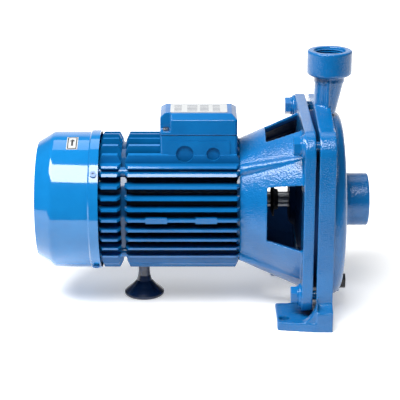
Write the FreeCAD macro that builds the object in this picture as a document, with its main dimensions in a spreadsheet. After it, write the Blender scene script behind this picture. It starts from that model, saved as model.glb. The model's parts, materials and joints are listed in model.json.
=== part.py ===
import FreeCAD, Part
import math
import os

import Sketcher

# Close-coupled centrifugal water pump: a finned electric motor on the left (-X), a cast lantern
# bracket, and a volute casing on the right (+X) with its suction port on the motor axis and its
# discharge port pointing up. Origin: the middle of the footprint, on the floor. +Z is up.

doc = FreeCAD.newDocument("centrifugal_pump")
V = FreeCAD.Vector

# ---------------------------------------------------------------- driving dimensions (mm)
DIMENSIONS = {
    # heights and stations along the motor axis
    "axis_height": 112.5,
    "discharge_top": 281.0,
    "cover_back": -183.2,
    "cover_corner": -162.2,
    "cover_bead": -121.7,
    "cover_rim": -110.6,
    "shield_front": -86.9,
    "frame_back": -82.5,
    "frame_front": 40.3,
    "window_back": 69.0,
    "flange_back": 106.2,
    "flange_front": 117.6,
    "casing_back": 121.3,
    "casing_front": 138.7,
    "volute_front": 152.8,
    "suction_face": 183.2,
    "discharge_station": 137.2,
    # motor
    "fin_tip": 75.2,
    "shell_outer": 60.0,
    "stator_outer": 54.0,
    "stator_bore": 30.0,
    "air_gap": 0.4,
    "fin_thickness": 2.7,
    "side_fin_pitch": 11.5,
    "crown_fin_pitch": 13.5,
    "shelf_height": 52.7,
    "cover_radius": 75.3,
    "band_radius": 76.8,
    "cover_wall": 1.5,
    "tie_rod_circle": 64.0,
    "tie_rod": 2.5,
    # terminal box
    "box_back": -45.0,
    "box_front": 37.7,
    "box_half_width": 40.0,
    "box_seam": 84.0,
    "box_top": 107.0,
    # shaft line
    "shaft_core": 11.0,
    "shaft_seal": 7.0,
    "shaft_nose": 6.0,
    "rear_bearing_bore": 7.5,
    "rear_bearing_outer": 17.5,
    "rear_bearing_width": 11.0,
    "rear_bearing_back": -104.0,
    "front_bearing_bore": 8.5,
    "front_bearing_outer": 20.0,
    "front_bearing_width": 12.0,
    "front_bearing_back": 50.0,
    "rotor_back": -45.0,
    "rotor_front": 25.0,
    "impeller_radius": 73.0,
    "impeller_back": 121.5,
    # pump end
    "flange_half": 100.0,
    "flange_corner": 23.0,
    "bolt_offset": 83.0,
    "bolt_rise": 2.0,
    "bolt": 5.0,
    "ring_radius": 67.5,
    "lantern_radius": 96.5,
    "lantern_wall": 7.0,
    "volute_radius": 103.0,
    "volute_wall": 7.0,
    "volute_shift_side": 8.0,
    "volute_shift_down": 6.0,
    "suction_outer": 29.0,
    "suction_thread": 20.95,
    "discharge_outer": 24.2,
    "discharge_thread": 16.6,
    "port_thread_depth": 20.0,
    "neck_outer": 16.5,
    "throat_outer": 12.0,
    "throat_shift": 4.2,
    "foot_half": 112.0,
    "foot_inner": 50.0,
    "toe_end": 79.9,
    "toe_thickness": 9.5,
    "foot_hole": 5.5,
    "foot_hole_station": 88.1,
    "foot_hole_offset": 94.0,
    # motor support
    "strut_station": -65.1,
    "strut_stem": 6.3,
    "strut_pad": 22.4,
}

sheet = doc.addObject("Spreadsheet::Sheet", "Dimensions")
for row, (alias, number) in enumerate(DIMENSIONS.items(), start=1):
    sheet.set(f"A{row}", alias)
    sheet.set(f"B{row}", str(number))
    sheet.setAlias(f"B{row}", alias)
doc.recompute()


class Dim:
    """A length that carries the sheet expression it comes from."""

    def __init__(self, value, text=None):
        self.value = float(value)
        self.text = repr(round(float(value), 6)) if text is None else text

    def _join(self, other, sign, value):
        return Dim(value, f"({self.text} {sign} {other.text})")

    def __add__(self, other):
        other = dim(other)
        return self._join(other, "+", self.value + other.value)

    def __sub__(self, other):
        other = dim(other)
        return self._join(other, "-", self.value - other.value)

    def __mul__(self, other):
        other = dim(other)
        return self._join(other, "*", self.value * other.value)

    def __truediv__(self, other):
        other = dim(other)
        return self._join(other, "/", self.value / other.value)

    def __neg__(self):
        return Dim(-self.value, f"(-1 * {self.text})")

    __radd__ = __add__
    __rmul__ = __mul__

    def __rsub__(self, other):
        return dim(other) - self


def dim(number):
    return number if isinstance(number, Dim) else Dim(number)


class Sheet:
    """Reads a cell by its alias, as in D.axis_height."""

    def __getattr__(self, alias):
        return Dim(DIMENSIONS[alias], f"Dimensions.{alias}")


D = Sheet()
AXIS = D.axis_height


# ---------------------------------------------------------------- helpers
def bind(obj, sizes):
    """Sets properties of obj to Dims and ties them to the sheet."""
    for name, size in sizes.items():
        size = dim(size)
        if "." not in name:
            setattr(obj, name, size.value)
        obj.setExpression(name, size.text)


TURNS = {
    "x": FreeCAD.Rotation(V(0, 1, 0), 90),
    "y": FreeCAD.Rotation(V(1, 0, 0), -90),
    "z": FreeCAD.Rotation(),
}


def place(obj, at, turn=None):
    """Puts obj at a point given as three Dims, turned by a rotation."""
    at = [dim(c) for c in at]
    obj.Placement = FreeCAD.Placement(V(*(c.value for c in at)), turn or FreeCAD.Rotation())
    bind(obj, {f"Placement.Base.{name}": c for name, c in zip("xyz", at)})
    return obj


def box(name, low, high):
    """A block between two corners."""
    obj = doc.addObject("Part::Box", name)
    low = [dim(c) for c in low]
    high = [dim(c) for c in high]
    sizes = {p: b - a for p, a, b in zip(("Length", "Width", "Height"), low, high)}
    bind(obj, sizes)
    return place(obj, low)


def cylinder(name, radius, length, at, axis="x"):
    obj = doc.addObject("Part::Cylinder", name)
    bind(obj, {"Radius": radius, "Height": length})
    return place(obj, at, TURNS.get(axis) or FreeCAD.Rotation(V(0, 0, 1), V(*axis)))


def cone(name, radius_a, radius_b, length, at, axis="x"):
    obj = doc.addObject("Part::Cone", name)
    bind(obj, {"Radius1": radius_a, "Radius2": radius_b, "Height": length})
    return place(obj, at, TURNS.get(axis) or FreeCAD.Rotation(V(0, 0, 1), V(*axis)))


def sphere(name, radius, at):
    obj = doc.addObject("Part::Sphere", name)
    bind(obj, {"Radius": radius})
    return place(obj, at)


def torus(name, ring_radius, tube_radius, at, axis="x"):
    obj = doc.addObject("Part::Torus", name)
    bind(obj, {"Radius1": ring_radius, "Radius2": tube_radius})
    return place(obj, at, TURNS[axis])


def hexagon(name, corner_radius, length, at, axis="x"):
    """A hexagonal prism, as a bolt head or a nut blank."""
    obj = doc.addObject("Part::Prism", name)
    obj.Polygon = 6
    bind(obj, {"Circumradius": corner_radius, "Height": length})
    return place(obj, at, TURNS.get(axis) or FreeCAD.Rotation(V(0, 0, 1), V(*axis)))


def fuse(name, parts):
    obj = doc.addObject("Part::MultiFuse", name)
    obj.Shapes = parts
    return obj


def group(name, parts):
    """Separate solids kept in one node."""
    obj = doc.addObject("Part::Compound", name)
    obj.Links = parts
    return obj


def cut(name, base, tools):
    if not isinstance(tools, list):
        tools = [tools]
    tool = tools[0] if len(tools) == 1 else fuse(name + "_tool", tools)
    obj = doc.addObject("Part::Cut", name)
    obj.Base = base
    obj.Tool = tool
    return obj


def common(name, parts):
    obj = doc.addObject("Part::MultiCommon", name)
    obj.Shapes = parts
    return obj


def tube(name, outer, inner, start, end):
    """A ring on the motor axis from one station to another."""
    start, end = dim(start), dim(end)
    solid = cylinder(name + "_outer", outer, end - start, (start, 0, AXIS))
    hole = cylinder(name + "_inner", inner, end - start + 2, (start - 1, 0, AXIS))
    return cut(name, solid, hole)


def outline(sketch, corners):
    """Draws a closed polygon whose every corner is tied to the sheet."""
    count = len(corners)
    corners = [(dim(a), dim(b)) for a, b in corners]
    points = [V(a.value, b.value, 0) for a, b in corners]
    sketch.addGeometry([Part.LineSegment(points[i], points[(i + 1) % count]) for i in range(count)], False)
    rules = [Sketcher.Constraint("Coincident", i, 2, (i + 1) % count, 1) for i in range(count)]
    ties = []
    for i, (a, b) in enumerate(corners):
        for kind, size in (("DistanceX", a), ("DistanceY", b)):
            if abs(size.value) < 1e-9:
                rules.append(Sketcher.Constraint("PointOnObject", i, 1, -2 if kind == "DistanceX" else -1))
            else:
                ties.append((len(rules), size))
                rules.append(Sketcher.Constraint(kind, -1, 1, i, 1, size.value))
    sketch.addConstraint(rules)
    for index, size in ties:
        sketch.setExpression(f"Constraints[{index}]", size.text)
    return sketch


def turned(name, corners, at=(0, 0, AXIS), upright=False):
    """A turned body: a polygon of (station, radius) corners revolved about the X axis of its own
    frame, or about its Z axis, with (radius, height) corners, when it is upright."""
    body = doc.addObject("PartDesign::Body", name)
    sketch = body.newObject("Sketcher::SketchObject", name + "_outline")
    plane = next(f for f in body.Origin.OriginFeatures if f.Role == "XZ_Plane")
    sketch.AttachmentSupport = [(plane, "")]
    sketch.MapMode = "FlatFace"
    outline(sketch, corners)
    turn = body.newObject("PartDesign::Revolution", name + "_turn")
    turn.Profile = sketch
    turn.ReferenceAxis = (sketch, ["V_Axis" if upright else "H_Axis"])
    turn.Angle = 360
    sketch.Visibility = False
    body.Tip = turn
    place(body, at)
    return body


def soften(body, radius, rings, upright=False):
    """Fillets circular edges of a turned body, given as (station, radius) pairs."""
    doc.recompute()
    base = body.Tip
    names = []
    for number, edge in enumerate(base.Shape.Edges, start=1):
        if not isinstance(edge.Curve, Part.Circle):
            continue
        centre = edge.Curve.Center
        station = centre.z if upright else centre.x
        for ring_station, ring_radius in rings:
            near_station = abs(station - dim(ring_station).value) < 0.01
            if near_station and abs(edge.Curve.Radius - dim(ring_radius).value) < 0.01:
                names.append(f"Edge{number}")
    fillet = body.newObject("PartDesign::Fillet", body.Name + "_fillet")
    fillet.Base = (base, names)
    bind(fillet, {"Radius": radius})
    body.Tip = fillet
    return body


PLANES = {
    "yz": FreeCAD.Rotation(V(1, 1, 1), 120),
    "xz": FreeCAD.Rotation(V(1, 0, 0), 90),
    "xy": FreeCAD.Rotation(),
}


def plate(name, plane, corners, thickness, at):
    """A flat polygon pushed along its plane's normal: +X for yz, -Y for xz, +Z for xy."""
    sketch = doc.addObject("Sketcher::SketchObject", name + "_outline")
    outline(sketch, corners)
    place(sketch, at, PLANES[plane])
    obj = doc.addObject("Part::Extrusion", name)
    obj.Base = sketch
    obj.DirMode = "Normal"
    obj.Solid = True
    bind(obj, {"LengthFwd": thickness})
    return obj


def round_edges(name, base, radius, wanted):
    """Fillets the edges of base that wanted() picks."""
    doc.recompute()
    obj = doc.addObject("Part::Fillet", name)
    obj.Base = base
    size = dim(radius).value
    picked = [n for n, edge in enumerate(base.Shape.Edges, start=1) if wanted(edge)]
    obj.Edges = [(n, size, size) for n in picked]
    return obj


def runs_along(edge, direction):
    """True for a straight edge that is parallel to a direction."""
    if not isinstance(edge.Curve, (Part.Line, Part.LineSegment)):
        return False
    return abs(edge.tangentAt(edge.FirstParameter).dot(V(*direction))) > 0.999


def on_circle(radius, degrees, station):
    """A point at an angle round the motor axis, from +Y towards +Z."""
    angle = math.radians(degrees)
    return (station, radius * math.cos(angle), AXIS + radius * math.sin(angle))


CORNERS = [(-1, 1), (-1, -1), (1, 1), (1, -1)]
NODES = {}


def node(name, obj):
    """Names a finished sub-part."""
    obj.Label = name
    NODES[name] = obj
    return obj


# ---------------------------------------------------------------- motor frame and rear shield
SIDE_FINS = [-4, -3, -2, -1, 0, 1, 2, 3, 4]
CROWN_FINS = [-2, -1, 0, 1, 2]
OUTER_CROWN_FIN = 40.0
OUTER_KEEL_FIN = 46.0
SHELF = (28.0, 54.0)
FIN_FOOT = 30.0
END_TAPER = 3.5


def fins(name, start, end):
    """The cooling fins of a cast motor section: flat side fins, upright fins on top and below,
    and the two shelves beside the crown, all trimmed to the fin circle with tapered ends."""
    half = D.fin_thickness / 2
    reach = D.fin_tip + 2
    slabs = []
    for step in SIDE_FINS:
        height = AXIS + D.side_fin_pitch * step
        low, high = (start, -reach, height - half), (end, reach, height + half)
        slabs.append(box(f"{name}_side_{step + 4}", low, high))
    for step in CROWN_FINS:
        side = D.crown_fin_pitch * step
        low, high = (start, side - half, AXIS - reach), (end, side + half, AXIS + reach)
        slabs.append(box(f"{name}_crown_{step + 2}", low, high))
    for hand in (-1, 1):
        side = dim(OUTER_CROWN_FIN * hand)
        low, high = (start, side - half, AXIS + FIN_FOOT), (end, side + half, AXIS + reach)
        slabs.append(box(f"{name}_edge_{hand + 1}", low, high))
        side = dim(OUTER_KEEL_FIN * hand)
        low, high = (start, side - half, AXIS - reach), (end, side + half, AXIS - FIN_FOOT)
        slabs.append(box(f"{name}_keel_{hand + 1}", low, high))
        sides = sorted(edge * hand for edge in SHELF)
        low = (start, sides[0], AXIS + D.shelf_height - half)
        high = (end, sides[1], AXIS + D.shelf_height + half)
        slabs.append(box(f"{name}_shelf_{hand + 1}", low, high))
    start, end = dim(start), dim(end)
    small = D.fin_tip - 2 * END_TAPER
    trim = turned(name + "_trim", [
        (start, 0), (start, small), (start + END_TAPER, D.fin_tip),
        (end - END_TAPER, D.fin_tip), (end, small), (end, 0),
    ])
    comb = fuse(name + "_comb", slabs)
    core = cylinder(name + "_core", D.shell_outer - 2, end - start + 2, (start - 1, 0, AXIS))
    return cut(name, common(name + "_trimmed", [comb, trim]), core)


def tie_rod_points(station):
    """The four places of the tie rods round the axis."""
    return [on_circle(D.tie_rod_circle, degrees, station) for degrees in (45, 135, 225, 315)]


def bosses(name, radius, start, end):
    """Four round bosses along the tie rods."""
    start, end = dim(start), dim(end)
    return [cylinder(f"{name}_{i}", radius, end - start, at) for i, at in enumerate(tie_rod_points(start))]


ROD_CLEARANCE = 0.4
END_RING = 64.0
STRUT_SEAT = 76.0
STUD = 3.0
BOX_WALL = 3.5
BOX_FLOOR = 58.0
ENTRIES = {"large": (-18.6, 9.3), "small": (12.0, 7.35)}
ENTRY_HEIGHT = 64.0
ENTRY_DEPTH = 2.2
PADS = [(-60.0, -37.2), (-6.9, 15.8)]
PAD_HALF = 2.4
ROD_BOSS = 5.6
STRUT_BOSS = 9.0
BOX_CORNER = 3.0
PANEL_PROUD = 0.8
LID_POST = 4.5
POST_BASE = 50.0
SCREW_HOLE = 1.75
SCREW_INSET = 6.5
SCREW_CORNERS = {
    -1: (D.box_back + SCREW_INSET, -D.box_half_width + SCREW_INSET),
    1: (D.box_front - SCREW_INSET, D.box_half_width - SCREW_INSET),
}

frame_shell = tube("frame_shell", D.shell_outer, D.stator_outer, D.shield_front, D.frame_front)
ring_back = cylinder("frame_ring_back", END_RING, D.frame_back - D.shield_front + 2,
                     (D.shield_front, 0, AXIS))
ring_front = cylinder("frame_ring_front", END_RING + 2, 3.0, (D.frame_front - 3, 0, AXIS))
box_base = round_edges(
    "frame_box_block",
    box("frame_box_blank", (D.box_back, -D.box_half_width, AXIS + 40),
        (D.box_front, D.box_half_width, AXIS + D.box_seam)),
    BOX_CORNER, lambda edge: runs_along(edge, (0, 0, 1)))
box_panel = box("frame_box_panel", (D.box_back + 9, -D.box_half_width - PANEL_PROUD, AXIS + 54.5),
                (D.box_front - 8, -D.box_half_width + 2, AXIS + 78))
pads = [
    box(f"frame_pad_{i}_{hand + 1}",
        (start, hand * (D.fin_tip - 2.5) - PAD_HALF, AXIS - 3),
        (end, hand * (D.fin_tip - 2.5) + PAD_HALF, AXIS + 3))
    for i, (start, end) in enumerate(PADS) for hand in (-1, 1)
]
strut_boss = cylinder("frame_strut_boss", STRUT_BOSS, 22.0, (D.strut_station, 0, AXIS - STRUT_SEAT), "z")
frame_solid = fuse("frame_solid", [
    frame_shell, ring_back, ring_front, box_base, box_panel, strut_boss,
    fins("frame_fins", D.frame_back, D.frame_front),
    *pads, *bosses("frame_boss", ROD_BOSS, D.shield_front, D.frame_front),
])
frame_cuts = [
    cylinder("frame_bore", D.stator_outer, D.frame_front - D.shield_front + 2, (D.shield_front - 1, 0, AXIS)),
    box("frame_box_hollow",
        (D.box_back + BOX_WALL, -D.box_half_width + BOX_WALL, AXIS + BOX_FLOOR),
        (D.box_front - BOX_WALL, D.box_half_width - BOX_WALL, AXIS + D.box_seam + 1)),
    cylinder("frame_lead_hole", 9.0, 16.0, (D.box_front - 18, 0, AXIS + 48), "z"),
    cylinder("frame_strut_hole", STUD + 0.05, 14.0, (D.strut_station, 0, AXIS - STRUT_SEAT - 1), "z"),
]
frame_cuts += bosses("frame_rod_hole", D.tie_rod + ROD_CLEARANCE, D.shield_front - 1, D.frame_front + 1)
for label, (station, radius) in ENTRIES.items():
    at = (station, -D.box_half_width - 2, AXIS + ENTRY_HEIGHT)
    frame_cuts.append(cylinder(f"frame_entry_{label}", radius, ENTRY_DEPTH + 2, at, "y"))
for hand, (station, side) in SCREW_CORNERS.items():
    frame_cuts.append(cylinder(f"frame_lid_hole_{hand + 1}", SCREW_HOLE, 12.0,
                               (station, side, AXIS + D.box_seam - 11), "z"))
lid_posts = [
    cylinder(f"frame_post_{hand + 1}", LID_POST, D.box_seam - POST_BASE,
             (station, side, AXIS + POST_BASE), "z")
    for hand, (station, side) in SCREW_CORNERS.items()
]
frame_hollow = cut("frame_hollow", frame_solid, frame_cuts[:2])
frame_posted = fuse("frame_posted", [frame_hollow, *lid_posts])
node("motor_frame", cut("motor_frame", frame_posted, frame_cuts[2:]))

SHIELD_BACK = -119.0
COVER_SCREWS = [38.0, 142.0, 232.0, 308.0]
COVER_SCREW_STATION = -115.6

shield_ring = tube("shield_shell", D.shell_outer, 51.0, D.cover_rim - 2, D.shield_front)
shield_wall = tube("shield_wall", D.shell_outer, 12.0, SHIELD_BACK + 6, SHIELD_BACK + 12)
shield_hub = tube("shield_hub", 26.0, D.rear_bearing_outer, SHIELD_BACK + 8, D.rear_bearing_back + 13)
shield_lugs = []
for degrees in COVER_SCREWS:
    lug = box(f"shield_lug_{int(degrees)}", (SHIELD_BACK, -6, 0), (D.cover_rim, 6, D.fin_tip - 0.1))
    turn = FreeCAD.Rotation(V(1, 0, 0), degrees - 90)
    place(lug, (SHIELD_BACK, -6 * math.cos(math.radians(degrees - 90)),
                AXIS - 6 * math.sin(math.radians(degrees - 90))), turn)
    shield_lugs.append(lug)
lug_band = tube("shield_lug_band", D.fin_tip, 56.0, SHIELD_BACK, D.cover_rim)
shield_solid = fuse("shield_solid", [
    shield_ring, shield_wall, shield_hub,
    common("shield_lug_set", [fuse("shield_lug_blanks", shield_lugs), lug_band]),
    fins("shield_fins", D.cover_rim, D.shield_front),
    *bosses("shield_boss", ROD_BOSS, SHIELD_BACK + 6, D.shield_front),
])
shield_holes = bosses("shield_rod_hole", D.tie_rod + ROD_CLEARANCE, SHIELD_BACK - 1, D.shield_front + 1)
shield_holes.append(cylinder("shield_shaft_hole", 8.5, 12.0, (SHIELD_BACK, 0, AXIS)))
shield_holes += bosses("shield_head_pocket", ROD_BOSS, SHIELD_BACK - 1, SHIELD_BACK + 6)
for degrees in COVER_SCREWS:
    angle = math.radians(degrees)
    at = on_circle(dim(60.0), degrees, COVER_SCREW_STATION)
    shield_holes.append(cylinder(f"shield_screw_hole_{int(degrees)}", SCREW_HOLE, 20.0, at,
                                 (0, math.cos(angle), math.sin(angle))))
node("rear_shield", cut("rear_shield", shield_solid, shield_holes))


# ---------------------------------------------------------------- terminal box
LID_SHOULDER = 101.0
LID_BEVEL = 7.0
LID_RIDGE = 9.0
LID_REAR = 92.0
LID_WALL = 2.5
GASKET = 0.4
POCKET_FLOOR = 4.0
POCKET_LENGTH = 11.5
POCKET_DEPTH = 11.5
POCKET_WALL = 2.0
LID_HOLE = 2.2
LID_SCREW = 1.7
LID_SCREW_HEAD = 3.6
LID_SCREW_LENGTH = 14.0
LID_BASE = D.box_seam + GASKET


def lid_blank(name, inset, base):
    """The lid's outer form: a bevelled ridge with a sloping rear, tapered at both ends."""
    half = D.box_half_width - inset
    top = D.box_top - inset
    profile = plate(name + "_profile", "yz", [
        (-half, base), (-half, LID_SHOULDER - inset), (-half + LID_BEVEL, top),
        (dim(LID_RIDGE) - inset, top), (half, LID_REAR - inset), (half, base),
    ], D.box_front - D.box_back - 2 * inset, (D.box_back + inset, 0, AXIS))
    rise = top - (LID_SHOULDER - inset)
    face = plate(name + "_ends", "xz", [
        (D.box_back + inset, base), (D.box_back + inset, LID_SHOULDER - inset),
        (D.box_back + inset + rise, top), (D.box_front - inset - rise, top),
        (D.box_front - inset, LID_SHOULDER - inset), (D.box_front - inset, base),
    ], 2 * half, (0, half, AXIS))
    return common(name, [profile, face])


lid_outer = round_edges(
    "lid_outer", lid_blank("lid_blank", 0, LID_BASE), BOX_CORNER,
    lambda edge: runs_along(edge, (0, 0, 1)))
lid_inner = lid_blank("lid_inner", LID_WALL, LID_BASE - 1)
lid_hollow = cut("lid_hollow", lid_outer, lid_inner)

def pocket(name, hand, grow, base):
    """The block of space over a lid screw, open at the lid's corner; grow widens it inwards."""
    along = (D.box_back - 2, D.box_back + POCKET_LENGTH + grow)
    if hand > 0:
        along = (D.box_front - POCKET_LENGTH - grow, D.box_front + 2)
    half = D.box_half_width.value
    across = sorted([hand * (half - POCKET_DEPTH - grow), hand * (half + 2)])
    return box(name, (along[0], across[0], AXIS + base), (along[1], across[1], AXIS + D.box_top + 3))


lid_pockets = []
pocket_walls = []
for hand, (station, side) in SCREW_CORNERS.items():
    lid_pockets.append(pocket(f"lid_pocket_{hand + 1}", hand, 0.0, LID_BASE + POCKET_FLOOR))
    lid_pockets.append(cylinder(f"lid_hole_{hand + 1}", LID_HOLE, 14.0,
                                (station, side, AXIS + D.box_seam), "z"))
    pocket_walls.append(common(f"lid_pocket_wall_{hand + 1}", [
        lid_outer, pocket(f"lid_pocket_block_{hand + 1}", hand, POCKET_WALL, LID_BASE),
    ]))
lid_solid = fuse("lid_solid", [lid_hollow, *pocket_walls])
node("terminal_box_lid", cut("terminal_box_lid", lid_solid, lid_pockets))

GASKET_MARGIN = 1.0
GASKET_WIDTH = 3.0
gasket_sheet = round_edges(
    "gasket_sheet",
    box("gasket_blank",
        (D.box_back + GASKET_MARGIN, -D.box_half_width + GASKET_MARGIN, AXIS + D.box_seam),
        (D.box_front - GASKET_MARGIN, D.box_half_width - GASKET_MARGIN, AXIS + LID_BASE)),
    BOX_CORNER, lambda edge: runs_along(edge, (0, 0, 1)))
gasket_inset = GASKET_MARGIN + GASKET_WIDTH
gasket_window = box("gasket_window",
                    (D.box_back + gasket_inset, -D.box_half_width + gasket_inset, AXIS + D.box_seam - 1),
                    (D.box_front - gasket_inset, D.box_half_width - gasket_inset, AXIS + LID_BASE + 1))
gasket_ears = []
gasket_holes = []
for hand, (station, side) in SCREW_CORNERS.items():
    gasket_ears.append(cylinder(f"gasket_ear_{hand + 1}", 5.0, GASKET,
                                (station, side, AXIS + D.box_seam), "z"))
    gasket_holes.append(cylinder(f"gasket_hole_{hand + 1}", LID_HOLE, 4.0,
                                 (station, side, AXIS + D.box_seam - 1), "z"))
gasket_frame = fuse("gasket_frame", [cut("gasket_rim", gasket_sheet, gasket_window), *gasket_ears])
node("terminal_box_gasket", cut("terminal_box_gasket", gasket_frame, gasket_holes))

lid_screws = []
for hand, (station, side) in SCREW_CORNERS.items():
    head_seat = AXIS + LID_BASE + POCKET_FLOOR
    screw = fuse(f"lid_screw_{hand + 1}", [
        cylinder(f"lid_screw_head_{hand + 1}", LID_SCREW_HEAD, 3.0, (station, side, head_seat), "z"),
        cylinder(f"lid_screw_shank_{hand + 1}", LID_SCREW, LID_SCREW_LENGTH,
                 (station, side, head_seat - LID_SCREW_LENGTH), "z"),
    ])
    slot = box(f"lid_screw_slot_{hand + 1}", (station - 4, side - 0.5, head_seat + 1.8),
               (station + 4, side + 0.5, head_seat + 4))
    lid_screws.append(cut(f"lid_screw_cut_{hand + 1}", screw, slot))
node("terminal_lid_screws", group("terminal_lid_screws", lid_screws))

PLATE_START = 11.0
PLATE_LENGTH = 61.0
PLATE_REAR = 5.0
PLATE_THICKNESS = 0.6
plate_back = D.box_back + PLATE_START
node("nameplate", round_edges(
    "nameplate",
    box("nameplate_blank", (plate_back, -D.box_half_width + LID_BEVEL + 3, AXIS + D.box_top),
        (plate_back + PLATE_LENGTH, PLATE_REAR, AXIS + D.box_top + PLATE_THICKNESS)),
    2.0, lambda edge: runs_along(edge, (0, 0, 1))))

board_low = AXIS + BOX_FLOOR
board = box("terminal_board_slab", (-12, -24, board_low), (26, -6, board_low + 5))
studs = [
    cylinder(f"terminal_board_pad_{column}_{rank}", 3.2, 3.0,
             (-6 + 13 * column, -20 + 10 * rank, board_low + 5), "z")
    for column in range(3) for rank in range(2)
]
node("terminal_board", fuse("terminal_board", [board, *studs]))
board_top = board_low + 8
stud_solids = [
    cylinder(f"terminal_stud_{column}_{rank}", 2.0, 8.0, (-6 + 13 * column, -20 + 10 * rank, board_top), "z")
    for column in range(3) for rank in range(2)
]
node("terminal_studs", group("terminal_studs", stud_solids))
node("run_capacitor", round_edges(
    "run_capacitor",
    cylinder("run_capacitor_can", 14.0, 62.0, (D.box_back + 9, 16, board_low + 14.05)), 1.5,
    lambda edge: isinstance(edge.Curve, Part.Circle)))

# ---------------------------------------------------------------- motor inside
CORE_BACK = D.rotor_back
CORE_FRONT = D.rotor_front
node("stator_core", tube("stator_core", D.stator_outer - 0.05, D.stator_bore, CORE_BACK, CORE_FRONT))
node("stator_windings", group("stator_windings", [
    round_edges(f"winding_round_{end}", tube(f"winding_{end}", 50.0, 34.0, start, dim(start) + 15), 4.0,
                lambda edge: isinstance(edge.Curve, Part.Circle))
    for end, start in (("rear", CORE_BACK - 15), ("front", CORE_FRONT))
]))
rotor_radius = D.stator_bore - D.air_gap
node("rotor_core", tube("rotor_core", rotor_radius, D.shaft_core, CORE_BACK, CORE_FRONT))
node("rotor_end_rings", group("rotor_end_rings", [
    tube(f"end_ring_{end}", 28.0, 17.0, start, dim(start) + 8)
    for end, start in (("rear", CORE_BACK - 8), ("front", CORE_FRONT))
]))

FAN_BACK = -149.0
SHAFT_BACK = -153.0
SHAFT_FRONT = 150.0
node("pump_shaft", turned("pump_shaft", [
    (SHAFT_BACK, 0), (SHAFT_BACK, 6), (SHAFT_BACK + 1, 7),
    (D.rear_bearing_back, 7), (D.rear_bearing_back, D.rear_bearing_bore),
    (D.rear_bearing_back + D.rear_bearing_width, D.rear_bearing_bore),
    (D.rear_bearing_back + D.rear_bearing_width, 10), (CORE_BACK - 10, 10), (CORE_BACK - 10, D.shaft_core),
    (CORE_FRONT + 10, D.shaft_core), (CORE_FRONT + 10, 11.5), (D.front_bearing_back, 11.5),
    (D.front_bearing_back, D.front_bearing_bore),
    (D.front_bearing_back + D.front_bearing_width, D.front_bearing_bore),
    (100, D.front_bearing_bore), (100, D.shaft_seal),
    (D.impeller_back, D.shaft_seal), (D.impeller_back, D.shaft_nose),
    (D.impeller_back + 12, D.shaft_nose), (D.impeller_back + 12, 5), (SHAFT_FRONT - 1, 5), (SHAFT_FRONT, 4),
    (SHAFT_FRONT, 0),
]))


def bearing(name, back, width, bore, outer, balls, ball_radius):
    """A deep-groove ball bearing: an outer ring that stays, an inner ring and caged balls that turn."""
    groove = (bore + outer) / 2
    middle = back + width / 2
    wall = (outer - bore) * 0.28
    outer_blank = tube(name + "_outer_blank", outer, outer - wall, back, back + width)
    outer_ring = cut(name + "_outer_cut", outer_blank,
                     torus(name + "_outer_groove", groove, ball_radius + 0.3, (middle, 0, AXIS)))
    node(name + "_outer_ring", outer_ring)
    inner_ring = cut(name + "_inner_cut", tube(name + "_inner_blank", bore + wall, bore, back, back + width),
                     torus(name + "_inner_groove", groove, ball_radius, (middle, 0, AXIS)))
    node(name + "_inner_ring", inner_ring)
    ball_set = [
        sphere(f"{name}_ball_{i}", ball_radius - 0.02, on_circle(groove, 360 * i / balls, middle))
        for i in range(balls)
    ]
    node(name + "_balls", group(name + "_balls", ball_set))


bearing("rear_bearing", D.rear_bearing_back, D.rear_bearing_width, D.rear_bearing_bore,
        D.rear_bearing_outer, 8, 2.9)
bearing("front_bearing", D.front_bearing_back, D.front_bearing_width, D.front_bearing_bore,
        D.front_bearing_outer, 8, 3.3)
node("preload_washer", tube("preload_washer", D.rear_bearing_outer - 0.3, 13.0,
                            D.rear_bearing_back - 1.0, D.rear_bearing_back))

# ---------------------------------------------------------------- cooling fan and its cover
fan_hub = tube("fan_hub", 12.0, 7.0, FAN_BACK, FAN_BACK + 16)
fan_disc = tube("fan_disc", 62.0, 11.0, FAN_BACK + 11, FAN_BACK + 13)
FAN_BLADES = 7
blades = []
for i in range(FAN_BLADES):
    angle = 360 * i / FAN_BLADES
    blade = box(f"fan_blade_{i}", (FAN_BACK, 0, 0), (FAN_BACK + 11.5, 2.2, 52))
    start = on_circle(dim(10.0), 90 + angle, FAN_BACK)
    blades.append(place(blade, start, FreeCAD.Rotation(V(1, 0, 0), angle)))
node("cooling_fan", fuse("cooling_fan", [fan_hub, fan_disc, *blades]))
node("fan_clip", tube("fan_clip", 11.0, 7.0, FAN_BACK - 1.2, FAN_BACK))

DOME = 2.0
wall = D.cover_wall
cover_shell = turned("cover_shell", [
    (D.cover_rim, D.band_radius), (D.cover_bead + 1.5, D.band_radius), (D.cover_bead, D.cover_radius),
    (D.cover_corner, D.cover_radius), (D.cover_back + 4, 65), (D.cover_back + DOME, 56), (D.cover_back, 0),
    (D.cover_back + wall, 0), (D.cover_back + DOME + wall, 55), (D.cover_back + 4 + wall, 64),
    (D.cover_corner + 0.6, D.cover_radius - wall), (D.cover_bead + 0.4, D.cover_radius - wall),
    (D.cover_bead + 1.5, D.band_radius - wall), (D.cover_rim, D.band_radius - wall),
])
soften(cover_shell, 9.0, [(D.cover_corner, D.cover_radius), (D.cover_corner + 0.6, D.cover_radius - wall)])
GRILLE = [(13, 5), (23, 10), (33, 15), (43, 20), (53, 25)]
grille_holes = [
    cylinder(f"grille_hole_{ring}_{i}", 3.1, 12.0,
             on_circle(dim(ring), 360 * (i + 0.5) / count, D.cover_back - 3))
    for ring, count in GRILLE for i in range(count)
]
cover_holes = []
for degrees in COVER_SCREWS:
    angle = math.radians(degrees)
    at = on_circle(D.band_radius - 6, degrees, COVER_SCREW_STATION)
    cover_holes.append(cylinder(f"cover_hole_{int(degrees)}", 2.2, 10.0, at,
                                (0, math.cos(angle), math.sin(angle))))
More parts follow.
